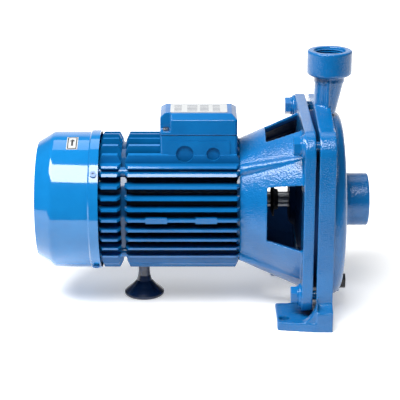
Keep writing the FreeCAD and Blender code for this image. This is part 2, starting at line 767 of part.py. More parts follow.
node("fan_cover", cut("fan_cover", cover_shell, grille_holes + cover_holes))

cover_screws = []
for degrees in COVER_SCREWS:
    angle = math.radians(degrees)
    out = (0, math.cos(angle), math.sin(angle))
    seat = on_circle(D.band_radius + 0.1, degrees, COVER_SCREW_STATION)
    foot = on_circle(D.band_radius - 11, degrees, COVER_SCREW_STATION)
    screw = fuse(f"cover_screw_{int(degrees)}", [
        cylinder(f"cover_screw_head_{int(degrees)}", 3.6, 2.2, seat, out),
        cylinder(f"cover_screw_shank_{int(degrees)}", 1.7, 12.0, foot, out),
    ])
    socket = hexagon(f"cover_screw_socket_{int(degrees)}", 1.6, 3.0,
                     on_circle(D.band_radius + 1.0, degrees, COVER_SCREW_STATION), out)
    cover_screws.append(cut(f"cover_screw_cut_{int(degrees)}", screw, socket))
node("fan_cover_screws", group("fan_cover_screws", cover_screws))

label_ring = tube("label_ring", D.cover_radius + 0.35, D.cover_radius + 0.05, -146, -134)
label_blank = box("label_blank", (-147, -34, AXIS + 60), (-133, -12, AXIS + 90))
node("rotation_label", common("rotation_label", [label_ring, label_blank]))

rods = []
for i, at in enumerate(tie_rod_points(SHIELD_BACK + 2)):
    rod_end = tie_rod_points(D.frame_front + 9)[i]
    shank = cylinder(f"tie_rod_{i}", D.tie_rod, rod_end[0] - at[0], at)
    rod_head = hexagon(f"tie_rod_head_{i}", 4.6, 3.8, (SHIELD_BACK + 2.2, at[1], at[2]))
    rods.append(fuse(f"tie_rod_bolt_{i}", [shank, rod_head]))
node("tie_rods", group("tie_rods", rods))

# ---------------------------------------------------------------- lantern bracket
BOSS_OUTER = 12.0
BOSS_LENGTH = 3.2
COVER_RIM = 98.5
COVER_OPENING = 66.0


def square_flange(name, start, end):
    """A square flange with round corners."""
    blank = box(name + "_blank", (start, -D.flange_half, AXIS - D.flange_half),
                (end, D.flange_half, AXIS + D.flange_half))
    return round_edges(name, blank, D.flange_corner, lambda edge: runs_along(edge, (1, 0, 0)))


def bolt_points(station):
    return [(station, y * D.bolt_offset, AXIS + D.bolt_rise + z * D.bolt_offset) for y, z in CORNERS]


lantern_length = D.flange_back - D.frame_front
lantern_outer = cone("lantern_outer", D.ring_radius, D.lantern_radius, lantern_length,
                     (D.frame_front, 0, AXIS))
lantern_inner = cone("lantern_inner", D.ring_radius - D.lantern_wall, D.lantern_radius - D.lantern_wall,
                     lantern_length, (D.frame_front, 0, AXIS))
lantern_shell = cut("lantern_shell", lantern_outer, lantern_inner)
WINDOW_NARROW = 29.0
WINDOW_WIDE = 36.0
SIDE_WINDOW_RISE = 7.0


def windows(name, plane, shift, at):
    """A tapering slot right through the lantern, moved sideways by shift."""
    corners = [
        (D.window_back, shift - WINDOW_NARROW), (D.flange_back, shift - WINDOW_WIDE),
        (D.flange_back, shift + WINDOW_WIDE), (D.window_back, shift + WINDOW_NARROW),
    ]
    return plate(name, plane, corners, 2 * THROUGH, at)


THROUGH = 120.0
side_windows = windows("side_windows", "xz", SIDE_WINDOW_RISE, (0, THROUGH, AXIS))
crown_windows = windows("crown_windows", "xy", 0.0, (0, 0, AXIS - THROUGH))
lantern_arms = cut("lantern_arms", lantern_shell, [side_windows, crown_windows])
RIB_START = 66.5
RIB_END = 93.0
ribs = []
for i, (y, z) in enumerate(CORNERS):
    lean = math.sqrt(0.5)
    run = lantern_length.value
    direction = (run, y * lean * (RIB_END - RIB_START), z * lean * (RIB_END - RIB_START))
    length = math.sqrt(sum(c * c for c in direction))
    start = (D.frame_front, y * lean * dim(RIB_START), AXIS + z * lean * dim(RIB_START))
    ribs.append(cone(f"lantern_rib_{i}", 6.5, 4.0, length, start, direction))
rib_trim = cylinder("lantern_rib_trim", 110.0, lantern_length, (D.frame_front, 0, AXIS))
rib_set = common("lantern_rib_set", [fuse("lantern_rib_blanks", ribs), rib_trim])
bracket_flange = square_flange("bracket_flange", D.flange_back, D.flange_front)
bolt_bosses = [
    cylinder(f"bracket_boss_{i}", BOSS_OUTER, BOSS_LENGTH + 1, at)
    for i, at in enumerate(bolt_points(D.flange_back - BOSS_LENGTH))
]
bracket_wall = cylinder("bracket_wall", D.ring_radius - 1, 8.0, (D.frame_front + 3.5, 0, AXIS))
bracket_hub = cylinder("bracket_hub", 27.0, 24.0, (D.frame_front + 3.5, 0, AXIS))
web_blank = [
    box(f"bracket_web_{i}", (D.frame_front + 10, -3, 0), (D.window_back - 4, 3, 66))
    for i in range(4)
]
for i, web in enumerate(web_blank):
    place(web, (D.frame_front + 10, -3 * math.cos(math.radians(45 + 90 * i)),
                AXIS - 3 * math.sin(math.radians(45 + 90 * i))), FreeCAD.Rotation(V(1, 0, 0), 45 + 90 * i))
webs = common("bracket_webs", [fuse("bracket_web_blanks", web_blank),
                               cylinder("bracket_web_trim", 64.0, 40.0, (D.frame_front + 8, 0, AXIS))])
bracket_solid = fuse("bracket_solid", [
    lantern_arms, rib_set, bracket_flange, bracket_wall, bracket_hub, webs, *bolt_bosses,
])
bracket_cuts = [
    cylinder("bracket_opening", COVER_OPENING, 30.0, (D.flange_back - 6, 0, AXIS)),
    cylinder("bracket_shaft_hole", 12.2, 60.0, (D.frame_front, 0, AXIS)),
    cylinder("bracket_bearing_seat", D.front_bearing_outer, D.front_bearing_width + 10,
             (D.front_bearing_back - 10, 0, AXIS)),
]
bracket_cuts += [
    cylinder(f"bracket_bolt_hole_{i}", D.bolt + 0.5, 40.0, at)
    for i, at in enumerate(bolt_points(D.flange_back - 20))
]
bracket_cuts += bosses("bracket_rod_hole", D.tie_rod + 0.05, D.frame_front - 1, D.frame_front + 10)
bracket_bored = cut("bracket_bored", bracket_solid, bracket_cuts)
seat_shoulder = tube("bracket_shoulder", 24.0, 14.0, D.front_bearing_back + D.front_bearing_width,
                     D.front_bearing_back + D.front_bearing_width + 3)
node("motor_bracket", fuse("motor_bracket", [bracket_bored, seat_shoulder]))

# ---------------------------------------------------------------- casing cover and shaft seal
COVER_HUB = 96.0
SEAT_BACK = 106.0
SEAT_OUTER = 14.0
SEAL_BACK = 112.0
SPIGOT = 79.7
spigot_front = D.casing_back + 4.0
node("casing_cover", turned("casing_cover", [
    (COVER_HUB, 9.2), (COVER_HUB, 24), (COVER_HUB + 6, 30), (D.flange_back, 52), (D.flange_front - 4, 60),
    (D.flange_front, 62), (D.flange_front, COVER_RIM), (D.casing_back, COVER_RIM),
    (D.casing_back, SPIGOT - 2.6),
    (D.casing_back + 2.2, SPIGOT - 2.6), (D.casing_back + 2.2, SPIGOT), (spigot_front, SPIGOT),
    (spigot_front, 75), (D.casing_back - 2, 75), (D.casing_back - 2, 60), (D.flange_back + 6, 30),
    (SEAT_BACK + 5, SEAT_OUTER), (SEAT_BACK, SEAT_OUTER), (SEAT_BACK, 9.2),
]))
node("casing_seal_ring", torus("casing_seal_ring", SPIGOT - 1.3, 1.08, (D.casing_back + 1.1, 0, AXIS)))
node("seal_seat", tube("seal_seat", SEAT_OUTER - 0.02, 8.2, SEAT_BACK, SEAL_BACK))
node("seal_head", tube("seal_head", 11.5, D.shaft_seal, SEAL_BACK, SEAL_BACK + 4))
coil = [
    torus(f"seal_coil_{i}", 10.0, 0.7, (SEAL_BACK + 4.75 + 1.5 * i, 0, AXIS))
    for i in range(3)
]
node("seal_spring", group("seal_spring", coil))
node("water_slinger", turned("water_slinger", [
    (76, D.front_bearing_bore), (76, 12), (78, 19), (79.5, 19), (80, 12), (84, 11),
    (84, D.front_bearing_bore),
]))

# ---------------------------------------------------------------- impeller
IMPELLER_EYE = 24.0
IMPELLER_NECK = 27.0
BLADE_START = D.impeller_back + 3
BLADE_END = D.impeller_back + 11.5
BLADES = 6
back_shroud = turned("impeller_back_shroud", [
    (D.impeller_back, D.shaft_nose), (D.impeller_back, D.impeller_radius), (BLADE_START, D.impeller_radius),
    (BLADE_START, 24), (BLADE_START + 4, 14), (BLADE_END + 1, 12), (BLADE_END + 1, D.shaft_nose),
])
front_shroud = turned("impeller_front_shroud", [
    (BLADE_END, D.impeller_radius), (BLADE_END + 2.5, D.impeller_radius), (BLADE_END + 4, 34),
    (BLADE_END + 7, IMPELLER_NECK), (BLADE_END + 13, IMPELLER_NECK), (BLADE_END + 13, IMPELLER_EYE),
    (BLADE_END + 3, IMPELLER_EYE), (BLADE_END, 32),
])
BLADE_ARC = 46.0
BLADE_CENTRE = 34.0
blade_height = BLADE_END - BLADE_START + 1
vane_parts = []
for i in range(BLADES):
    angle = 360 * i / BLADES
    centre = on_circle(dim(BLADE_CENTRE), angle, BLADE_START - 0.5)
    ring = cut(f"vane_ring_{i}",
               cylinder(f"vane_outer_{i}", BLADE_ARC + 1.4, blade_height, centre),
               cylinder(f"vane_inner_{i}", BLADE_ARC - 1.4, blade_height + 2,
                        (centre[0] - 1, centre[1], centre[2])))
    half = box(f"vane_half_{i}", (BLADE_START - 1, 0, 0), (BLADE_END + 1, 90, 90))
    turn = FreeCAD.Rotation(V(1, 0, 0), angle)
    place(half, (BLADE_START - 1, 0, AXIS), turn)
    vane_parts.append(common(f"vane_{i}", [ring, half]))
vane_zone = tube("vane_zone", D.impeller_radius, 22.0, BLADE_START - 0.5, BLADE_END + 0.5)
vanes = common("impeller_vanes", [fuse("impeller_vane_blanks", vane_parts), vane_zone])
node("impeller", fuse("impeller", [back_shroud, front_shroud, vanes]))
nut_back = BLADE_END + 1
node("impeller_nut", cut("impeller_nut", hexagon("impeller_nut_blank", 9.2, 8.0, (nut_back, 0, AXIS)),
                         cylinder("impeller_nut_bore", 5.0, 10.0, (nut_back - 1, 0, AXIS))))

# ---------------------------------------------------------------- volute casing
VOLUTE_BACK = 124.0
FRONT_WALL = 6.0
volute_at = (VOLUTE_BACK, D.volute_shift_side, AXIS - D.volute_shift_down)
drum = round_edges("volute_drum", cylinder("volute_drum_blank", D.volute_radius, D.volute_front - VOLUTE_BACK,
                                           volute_at),
                   11.0, lambda edge: isinstance(edge.Curve, Part.Circle) and edge.Curve.Center.x > 140)
suction_boss = turned("suction_boss", [
    (D.casing_front, 0), (D.casing_front, 37), (D.volute_front - 0.5, 37), (D.volute_front + 1.5, 33),
    (D.volute_front + 4.5, 30.2), (D.volute_front + 9, D.suction_outer),
    (D.suction_face - 1, D.suction_outer), (D.suction_face, D.suction_outer - 1), (D.suction_face, 0),
])
COLLAR_HEIGHT = 27.0
collar_base = D.discharge_top - COLLAR_HEIGHT
collar = turned("discharge_collar", [
    (0, 0), (D.discharge_outer - 2, 0), (D.discharge_outer, 2),
    (D.discharge_outer, COLLAR_HEIGHT - 1), (D.discharge_outer - 1, COLLAR_HEIGHT), (0, COLLAR_HEIGHT),
], (D.discharge_station, 0, collar_base), upright=True)
SADDLE_FOOT = 77.0
SADDLE_TOP = 14.0
SADDLE_RISE = 108.5
THROAT_BASE = 100.0
THROAT_TOP = 136.0
throat_lean = (D.throat_shift.value, 0, THROAT_TOP - THROAT_BASE)
throat = cone("discharge_throat", D.throat_outer, D.neck_outer - 0.6, THROAT_TOP - THROAT_BASE,
              (D.discharge_station - D.throat_shift, 0, AXIS + THROAT_BASE), throat_lean)
neck = cylinder("discharge_neck", D.neck_outer, collar_base - AXIS - THROAT_TOP + 3,
                (D.discharge_station, 0, AXIS + THROAT_TOP - 2), "z")
saddle = plate("discharge_saddle", "yz", [
    (-SADDLE_FOOT, D.flange_half - 2), (SADDLE_FOOT, D.flange_half - 2),
    (SADDLE_TOP, SADDLE_RISE), (-SADDLE_TOP, SADDLE_RISE),
], D.casing_front - D.casing_back, (D.casing_back, 0, AXIS))
neck_rib = box("neck_rib", (D.discharge_station - 4, -D.neck_outer - 1.4, AXIS + 96),
               (D.discharge_station - 0.5, 0, collar_base + 1))
casing_flange = square_flange("casing_flange", D.casing_back, D.casing_front)
GUSSET_LENGTH = 14.0
GUSSET_HEIGHT = 25.0
GUSSET_ARC = (GUSSET_LENGTH**2 + GUSSET_HEIGHT**2) / (2 * GUSSET_LENGTH)
TOE_TAPER = 2.0
DRAIN = (-14.0, AXIS - 92)
DRAIN_BOSS = 12.0
DRAIN_HOLE = 5.6
DRAIN_PROUD = 0.2
feet = []
for hand in (-1, 1):
    feet.append(plate(f"foot_block_{hand + 1}", "yz", [
        (hand * 90.0, -70), (hand * D.flange_half, -76), (hand * D.flange_half, -85),
        (hand * D.foot_half, -91), (hand * D.foot_half, -AXIS), (hand * D.foot_inner, -AXIS),
        (hand * D.foot_inner, -94),
    ], D.casing_front - D.casing_back, (D.casing_back, 0, AXIS)))
    toe_side = [(D.toe_end, hand * (D.foot_half - 6)), (D.casing_back + 1, hand * D.foot_half),
                (D.casing_back + 1, hand * D.foot_inner), (D.toe_end, hand * (D.foot_inner + TOE_TAPER))]
    toe = plate(f"toe_{hand + 1}", "xy", toe_side, D.toe_thickness, (0, 0, 0))
    feet.append(round_edges(f"toe_round_{hand + 1}", toe, 3.5, lambda edge: (
        runs_along(edge, (0, 0, 1)) and edge.BoundBox.XMin < D.toe_end.value + 1)))
    low, high = (D.flange_half + 0.6, D.foot_half - 2.0)
    if hand < 0:
        low, high = -high, -low
    gusset = box(f"foot_gusset_{hand + 1}", (D.casing_back - GUSSET_LENGTH, low, D.toe_thickness - 1),
                 (D.casing_back + 1, high, D.toe_thickness + GUSSET_HEIGHT))
    scoop = cylinder(f"foot_scoop_{hand + 1}", GUSSET_ARC, 30.0,
                     (D.casing_back - GUSSET_ARC, low - 5, D.toe_thickness + GUSSET_HEIGHT), "y")
    feet.append(cut(f"foot_fillet_{hand + 1}", gusset, scoop))
drain_boss = cylinder("drain_boss", DRAIN_BOSS, 14 + DRAIN_PROUD, (D.volute_front - 14, *DRAIN))
casing_solid = fuse("casing_solid", [
    casing_flange, drum, suction_boss, collar, neck, throat, saddle, neck_rib, drain_boss, *feet,
])
cavity = cylinder("volute_cavity", D.volute_radius - D.volute_wall, D.volute_front - FRONT_WALL - 126.0,
                  (126.0, D.volute_shift_side, AXIS - D.volute_shift_down))
PASSAGE_BASE = 78.0
PASSAGE_LENGTH = 72.0
PASSAGE_SHIFT = 6.0
casing_cuts = [
    cavity,
    cylinder("casing_spigot_bore", SPIGOT + 0.1, 10.0, (D.casing_back - 1, 0, AXIS)),
    cylinder("casing_wear_bore", IMPELLER_NECK + 0.35, 12.0, (D.volute_front - 8, 0, AXIS)),
    cylinder("casing_eye", 18.6, 40.0, (D.volute_front - 4, 0, AXIS)),
    cylinder("suction_bore", D.suction_thread, D.port_thread_depth + 1,
             (D.suction_face - D.port_thread_depth, 0, AXIS)),
    cylinder("discharge_bore", D.discharge_thread, D.port_thread_depth + 1,
             (D.discharge_station, 0, D.discharge_top - D.port_thread_depth), "z"),
    cone("discharge_passage", 7.5, 12.5, PASSAGE_LENGTH,
         (D.discharge_station - PASSAGE_SHIFT, 0, AXIS + PASSAGE_BASE), (PASSAGE_SHIFT, 0, PASSAGE_LENGTH)),
    cylinder("drain_hole", DRAIN_HOLE, 30.0, (D.volute_front - 15, *DRAIN)),
]
casing_cuts += [
    cylinder(f"casing_bolt_hole_{i}", D.bolt + 0.02, 40.0, at)
    for i, at in enumerate(bolt_points(D.casing_back - 10))
]
casing_cuts += [
    cylinder(f"foot_hole_{hand + 1}", D.foot_hole, 40.0,
             (D.foot_hole_station, hand * D.foot_hole_offset, -5), "z")
    for hand in (-1, 1)
]
node("volute_casing", cut("volute_casing", casing_solid, casing_cuts))

plug_seat = D.volute_front + DRAIN_PROUD
DRAIN_WASHER = 1.2
drain_plug = fuse("drain_plug_blank", [
    hexagon("drain_plug_head", 8.6, 6.0, (plug_seat + DRAIN_WASHER, *DRAIN)),
    cylinder("drain_plug_shank", DRAIN_HOLE - 0.1, 11.0, (plug_seat - 9, *DRAIN)),
])
node("drain_plug", drain_plug)
washer_blank = cylinder("drain_washer_blank", 8.6, DRAIN_WASHER, (plug_seat, *DRAIN))
node("drain_washer", cut("drain_washer_cut", washer_blank,
                         cylinder("drain_washer_hole", DRAIN_HOLE + 0.1, 4.0, (plug_seat - 1, *DRAIN))))

WASHER = 1.6
HEAD = 6.4
washer_back = D.flange_back - BOSS_LENGTH - WASHER
node("casing_bolt_washers", group("casing_bolt_washers", [
    cut(f"washer_{i}", cylinder(f"washer_disc_{i}", 10.3, WASHER, at),
        cylinder(f"washer_hole_{i}", D.bolt + 0.3, WASHER + 2, (at[0] - 1, at[1], at[2])))
    for i, at in enumerate(bolt_points(washer_back))
]))
bolts = []
for i, at in enumerate(bolt_points(washer_back - HEAD)):
    shank = cylinder(f"casing_bolt_shank_{i}", D.bolt, 42.0, at)
    bolt_head = hexagon(f"casing_bolt_head_{i}", 9.8, HEAD, at)
    bolts.append(fuse(f"casing_bolt_{i}", [shank, bolt_head]))
node("casing_bolts", group("casing_bolts", bolts))

# ---------------------------------------------------------------- motor support
STUD_BASE = 22.0
STUD_LENGTH = 26.0
strut_top = AXIS - STRUT_SEAT
strut_blank = turned("support_foot_blank", [
    (0, 0), (D.strut_pad - 1.5, 0), (D.strut_pad, 1.5), (D.strut_pad, 3.5), (D.strut_pad - 2.5, 6),
    (14, 11), (8.5, 17), (D.strut_stem + 0.6, 23), (D.strut_stem, 28), (D.strut_stem, strut_top),
    (0, strut_top),
], (D.strut_station, 0, 0), upright=True)
strut_bore = cylinder("support_foot_bore", STUD + 0.05, 30.0, (D.strut_station, 0, STUD_BASE), "z")
node("support_foot", cut("support_foot", strut_blank, strut_bore))
node("support_stud", cylinder("support_stud", STUD, STUD_LENGTH, (D.strut_station, 0, STUD_BASE), "z"))

# ---------------------------------------------------------------- checks and export
doc.recompute()
for obj in doc.Objects:
    if "Invalid" in obj.State or "Error" in obj.State:
        raise RuntimeError(f"{obj.Name} failed: {obj.State}")
for name, obj in NODES.items():
    if obj.Shape.isNull() or not obj.Shape.isValid() or not obj.Shape.Solids:
        raise RuntimeError(f"{name} has no valid solid")
os.makedirs("parts", exist_ok=True)
for name, obj in NODES.items():
    obj.Shape.exportStep(f"parts/{name}.step")
print(f"{len(NODES)} sub-parts written")
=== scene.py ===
"""Looks of a close-coupled centrifugal pump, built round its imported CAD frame. Metres, +Z up."""
import json
import math

import bpy
import numpy as np
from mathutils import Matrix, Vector, noise


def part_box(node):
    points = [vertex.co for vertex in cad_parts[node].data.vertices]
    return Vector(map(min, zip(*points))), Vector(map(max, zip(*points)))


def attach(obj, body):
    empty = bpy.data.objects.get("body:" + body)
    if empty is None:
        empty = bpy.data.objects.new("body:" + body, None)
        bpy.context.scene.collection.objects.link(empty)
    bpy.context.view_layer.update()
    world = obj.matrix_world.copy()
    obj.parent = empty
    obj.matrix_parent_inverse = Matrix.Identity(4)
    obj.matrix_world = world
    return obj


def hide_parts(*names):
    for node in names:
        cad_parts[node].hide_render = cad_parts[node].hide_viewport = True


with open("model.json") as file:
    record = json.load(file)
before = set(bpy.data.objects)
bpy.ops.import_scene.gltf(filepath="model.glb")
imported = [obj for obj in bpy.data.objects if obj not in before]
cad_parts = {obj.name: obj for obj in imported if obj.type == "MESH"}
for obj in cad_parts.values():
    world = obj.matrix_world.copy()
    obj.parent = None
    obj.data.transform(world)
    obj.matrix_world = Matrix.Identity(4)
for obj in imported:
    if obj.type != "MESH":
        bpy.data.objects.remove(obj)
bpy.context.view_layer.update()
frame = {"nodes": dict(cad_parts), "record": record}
MM = 0.001
NODES = frame["nodes"]
MOUNTS = {m["name"]: m for m in frame["record"]["mounts"]}
SLOT_OF = {s["node"]: s["material_slot"] for s in frame["record"]["subparts"]}
AXIS = MOUNTS["suction_port"]["pos_m"][2]


# ---------------------------------------------------------------- materials
class Shader:
    """A material with one Principled shader, and short calls for the nodes that feed it."""

    def __init__(self, name, color, roughness, metallic=0.0, coat=0.0, coat_roughness=0.05, specular=0.5):
        self.material = bpy.data.materials.new(name)
        self.material.use_nodes = True
        self.tree = self.material.node_tree
        self.shader = self.tree.nodes["Principled BSDF"]
        self.set("Base Color", (*color, 1.0))
        self.set("Roughness", roughness)
        self.set("Metallic", metallic)
        self.set("Coat Weight", coat)
        self.set("Coat Roughness", coat_roughness)
        self.set("Specular IOR Level", specular)
        self.point = self.tree.nodes.new("ShaderNodeTexCoord").outputs["Object"]
        self.bumped = None

    def set(self, socket, value):
        self.shader.inputs[socket].default_value = value

    def link(self, a, b):
        self.tree.links.new(a, b)

    def stretched(self, scale):
        """The object coordinates, scaled along each axis."""
        node = self.tree.nodes.new("ShaderNodeMapping")
        self.link(self.point, node.inputs["Vector"])
        node.inputs["Scale"].default_value = scale
        return node.outputs["Vector"]

    def noise(self, scale, detail=2.0, roughness=0.5, vector=None):
        node = self.tree.nodes.new("ShaderNodeTexNoise")
        self.link(vector or self.point, node.inputs["Vector"])
        node.inputs["Scale"].default_value = scale
        node.inputs["Detail"].default_value = detail
        node.inputs["Roughness"].default_value = roughness
        return node.outputs["Fac"]

    def bands(self, scale):
        """Straight bands across the motor axis."""
        node = self.tree.nodes.new("ShaderNodeTexWave")
        self.link(self.point, node.inputs["Vector"])
        node.wave_type = "BANDS"
        node.bands_direction = "X"
        node.inputs["Scale"].default_value = scale
        node.inputs["Distortion"].default_value = 0.0
        return node.outputs["Fac"]

    def ramp(self, factor, stops):
        node = self.tree.nodes.new("ShaderNodeValToRGB")
        self.link(factor, node.inputs["Fac"])
        while len(node.color_ramp.elements) < len(stops):
            node.color_ramp.elements.new(0.5)
        for element, (place, value) in zip(node.color_ramp.elements, stops):
            element.position = place
            color = value if hasattr(value, "__len__") else (value, value, value)
            element.color = (*color, 1.0)
        return node.outputs["Color"]

    def mix(self, factor, a, b):
        node = self.tree.nodes.new("ShaderNodeMix")
        node.data_type = "RGBA"
        for socket, value in ((node.inputs[0], factor), (node.inputs[6], a), (node.inputs[7], b)):
            if hasattr(value, "is_output"):
                self.link(value, socket)
            else:
                socket.default_value = value if not hasattr(value, "__len__") else (*value, 1.0)
        return node.outputs[2]

    def color(self, output):
        self.link(output, self.shader.inputs["Base Color"])

    def rough(self, factor, low, high):
        node = self.tree.nodes.new("ShaderNodeMapRange")
        self.link(factor, node.inputs["Value"])
        node.inputs["To Min"].default_value = low
        node.inputs["To Max"].default_value = high
        self.link(node.outputs["Result"], self.shader.inputs["Roughness"])

    def bump(self, height, strength, distance):
        node = self.tree.nodes.new("ShaderNodeBump")
        self.link(height, node.inputs["Height"])
        node.inputs["Strength"].default_value = strength
        node.inputs["Distance"].default_value = distance
        if self.bumped:
            self.link(self.bumped, node.inputs["Normal"])
        self.bumped = node.outputs["Normal"]
        self.link(self.bumped, self.shader.inputs["Normal"])
        self.link(self.bumped, self.shader.inputs["Coat Normal"])


def painted(name, color, deep, grain, peel, roughness=0.3, coat=0.6, gap_shade=None):
    """Blue enamel over metal: an uneven film, sand grain showing through, orange peel, and, when asked,
    painted
    shade: the colour darkened down at the bottom of the gaps between the fins, where shade falls."""
    s = Shader(name, color, roughness, coat=coat, coat_roughness=0.04, specular=0.08)
    film = s.noise(26, 4, 0.6)
    colour = s.mix(s.ramp(film, [(0.35, 0.0), (0.75, 1.0)]), color, deep)
    # Painted shade: the colour darkens towards the motor axis, down in the gaps between the fins.
    if gap_shade:
        shift = s.tree.nodes.new("ShaderNodeVectorMath")
        shift.operation = "MULTIPLY_ADD"
        s.link(s.point, shift.inputs[0])
        shift.inputs[1].default_value = (0.0, 1.0, 1.0)
        shift.inputs[2].default_value = (0.0, 0.0, -AXIS)
        reach = s.tree.nodes.new("ShaderNodeVectorMath")
        reach.operation = "LENGTH"
        s.link(shift.outputs["Vector"], reach.inputs[0])
        depth = s.tree.nodes.new("ShaderNodeMapRange")
        s.link(reach.outputs["Value"], depth.inputs["Value"])
        depth.inputs["From Min"].default_value = gap_shade[0]
        depth.inputs["From Max"].default_value = gap_shade[1]
        colour = s.mix(depth.outputs["Result"], tuple(c * 0.16 for c in deep), colour)
    s.color(colour)
    s.rough(s.noise(240, 3), roughness - 0.06, roughness + 0.1)
    if grain:
        s.bump(s.noise(140, 2), grain * 0.25, 0.002)
        s.bump(s.noise(620, 1.5, 0.5), grain, 0.0009)
    s.bump(s.noise(900, 2, 0.5), peel, 0.0004)
    return s.material


def plain(name, color, roughness, bump, vary=0.25, coat=0.0):
    """A moulded or machined surface with a fine uneven finish."""
    s = Shader(name, color, roughness, coat=coat)
    dark = tuple(c * (1 - vary) for c in color)
    s.color(s.mix(s.noise(60, 4), dark, color))
    s.rough(s.noise(300, 3), roughness * 0.8, min(1.0, roughness * 1.25))
    s.bump(s.noise(600, 3), bump, 0.0006)
    return s.material


def turned_metal(name, color, roughness, scale=900):
    """Metal with fine tool marks round the motor axis."""
    s = Shader(name, color, roughness, metallic=1.0)
    marks = s.noise(1.0, 4, 0.6, s.stretched((scale, scale * 0.06, scale * 0.06)))
    s.color(s.mix(marks, tuple(c * 0.72 for c in color), color))
    s.rough(marks, roughness * 0.7, roughness * 1.4)
    s.bump(marks, 0.15, 0.0004)
    return s.material


def laminated(name, color):
    """Stacked sheets, edge on."""
    s = Shader(name, color, 0.45, metallic=1.0)
    sheets = s.bands(320)
    s.color(s.mix(sheets, tuple(c * 0.35 for c in color), color))
    s.bump(sheets, 0.5, 0.0005)
    return s.material


def wound(name, color):
    """Enamelled wire, wound round the motor axis."""
    s = Shader(name, color, 0.3, metallic=0.9, coat=0.5)
    wires = s.noise(1.0, 3, 0.6, s.stretched((60, 700, 700)))
    s.color(s.mix(wires, tuple(c * 0.4 for c in color), color))
    s.bump(wires, 0.8, 0.001)
    return s.material


BLUE = (0.002, 0.113, 0.32)
BLUE_DEEP = (0.0015, 0.088, 0.26)
COVER_BLUE = (0.004, 0.148, 0.39)
# The casing cover's paint, darkened as painted shade for the shade inside the lantern and in the gap
# between the flanges.
INNER_SHADE_BLUE = (0.001, 0.018, 0.07)
# Radii over which painted shade darkens the paint towards the bottom of the fin gaps.
FIN_GAP_SHADE = (0.061, 0.0725)
SHIELD_GAP_SHADE = (0.058, 0.066)
PAINTS = {
    "blue_casting": painted("cast_iron_paint", BLUE, BLUE_DEEP, 0.5, 0.04, coat=0.8),
    "blue_motor": painted("die_cast_paint", BLUE, BLUE_DEEP, 0.0, 0.07, gap_shade=FIN_GAP_SHADE),
    "blue_cover": painted("cover_paint", COVER_BLUE, (0.0025, 0.120, 0.33), 0.0, 0.03, 0.14, 1.0),
    "blue_fasteners": painted("fastener_paint", BLUE, BLUE_DEEP, 0.04, 0.12),
    "painted_cover": painted("inner_paint_and_shade", INNER_SHADE_BLUE, (0.001, 0.013, 0.055), 0.25, 0.1, 0.6, 0.0),
    "steel": turned_metal("turned_steel", (0.42, 0.43, 0.45), 0.32),
    "bright_steel": turned_metal("ground_steel", (0.42, 0.43, 0.45), 0.2, 1500),
    "brass": turned_metal("machined_brass", (0.62, 0.40, 0.15), 0.28),
    "copper": wound("copper_wire", (0.62, 0.26, 0.11)),
    "aluminium": turned_metal("cast_aluminium", (0.62, 0.63, 0.65), 0.4),
    "lamination": laminated("lamination_steel", (0.34, 0.35, 0.38)),
    "rubber": plain("black_rubber", (0.012, 0.012, 0.013), 0.65, 0.2),
    "black_plastic": plain("black_plastic", (0.010, 0.010, 0.012), 0.38, 0.12),
    "dark_plastic": plain("dark_blue_plastic", (0.003, 0.014, 0.055), 0.22, 0.06, coat=0.3),
    "white_plastic": plain("white_plastic", (0.78, 0.78, 0.75), 0.35, 0.06),
    "seal_ceramic": plain("seal_ceramic", (0.80, 0.78, 0.72), 0.2, 0.05),
    "label": plain("label_film", (0.40, 0.41, 0.41), 0.35, 0.03, vary=0.05),
}


# ---------------------------------------------------------------- shapes of the CAD nodes
CAST_VOXEL, CAST_ROUNDS, CAST_WAVINESS = 0.95 * MM, 4, 0.08 * MM
LID_VOXEL, LID_ROUNDS = 0.7 * MM, 3
EDGE = 0.45 * MM
# The lantern's outer wall, as (station, radius) at its back and front ends, and the wall's thickness.
LANTERN = ((0.0403, 0.0675), (0.1062, 0.0965))
INNER_WALL = 3.0 * MM


def paint(obj, slot):
    obj.data.materials.clear()
    obj.data.materials.append(PAINTS[slot])


def piece(name, mesh, body, slot, *stands_for):
    """A new visible piece that rides on a body, painted from a record slot."""
    obj = bpy.data.objects.new(name, mesh)
    bpy.context.scene.collection.objects.link(obj)
    paint(obj, slot)
    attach(obj, body)
    if stands_for:
        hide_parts(*stands_for)
    return obj


def smooth(mesh, degrees=40.0):
    """Smooth shading with sharp edges kept above an angle."""
    mesh.shade_smooth()
    mesh.set_sharp_from_angle(angle=math.radians(degrees))


def applied(obj):
    """The mesh of obj with its modifiers applied."""
    bpy.context.view_layer.update()
    graph = bpy.context.evaluated_depsgraph_get()
    mesh = bpy.data.meshes.new_from_object(obj.evaluated_get(graph))
    return mesh


def cast_copy(node, voxel, rounds, waviness):
    """A casting made from a CAD node: its edges and corners rounded as a mould leaves them, and its
    faces very slightly uneven."""
    mesh = NODES[node].data.copy()
    work = bpy.data.objects.new("work_" + node, mesh)
    bpy.context.scene.collection.objects.link(work)
    remesh = work.modifiers.new("remesh", "REMESH")
    remesh.mode = "VOXEL"
    remesh.voxel_size = voxel
    remesh.use_smooth_shade = True
    relax = work.modifiers.new("relax", "SMOOTH")
    relax.factor = 0.5
    relax.iterations = rounds
    result = applied(work)
    bpy.data.objects.remove(work)
    if waviness:
        count = len(result.vertices)
        places = np.empty(count * 3)
        normals = np.empty(count * 3)
        result.vertices.foreach_get("co", places)
        result.vertex_normals.foreach_get("vector", normals)
        places = places.reshape(-1, 3)
        shifts = [noise.noise(Vector(p) * 38.0) + 0.5 * noise.noise(Vector(p) * 95.0) for p in places]
        places += normals.reshape(-1, 3) * np.array(shifts)[:, None] * waviness
        result.vertices.foreach_set("co", places.ravel())
    result.shade_smooth()
    slot = SLOT_OF[node]
    return piece(node + "_cast", result, "root", slot, node)


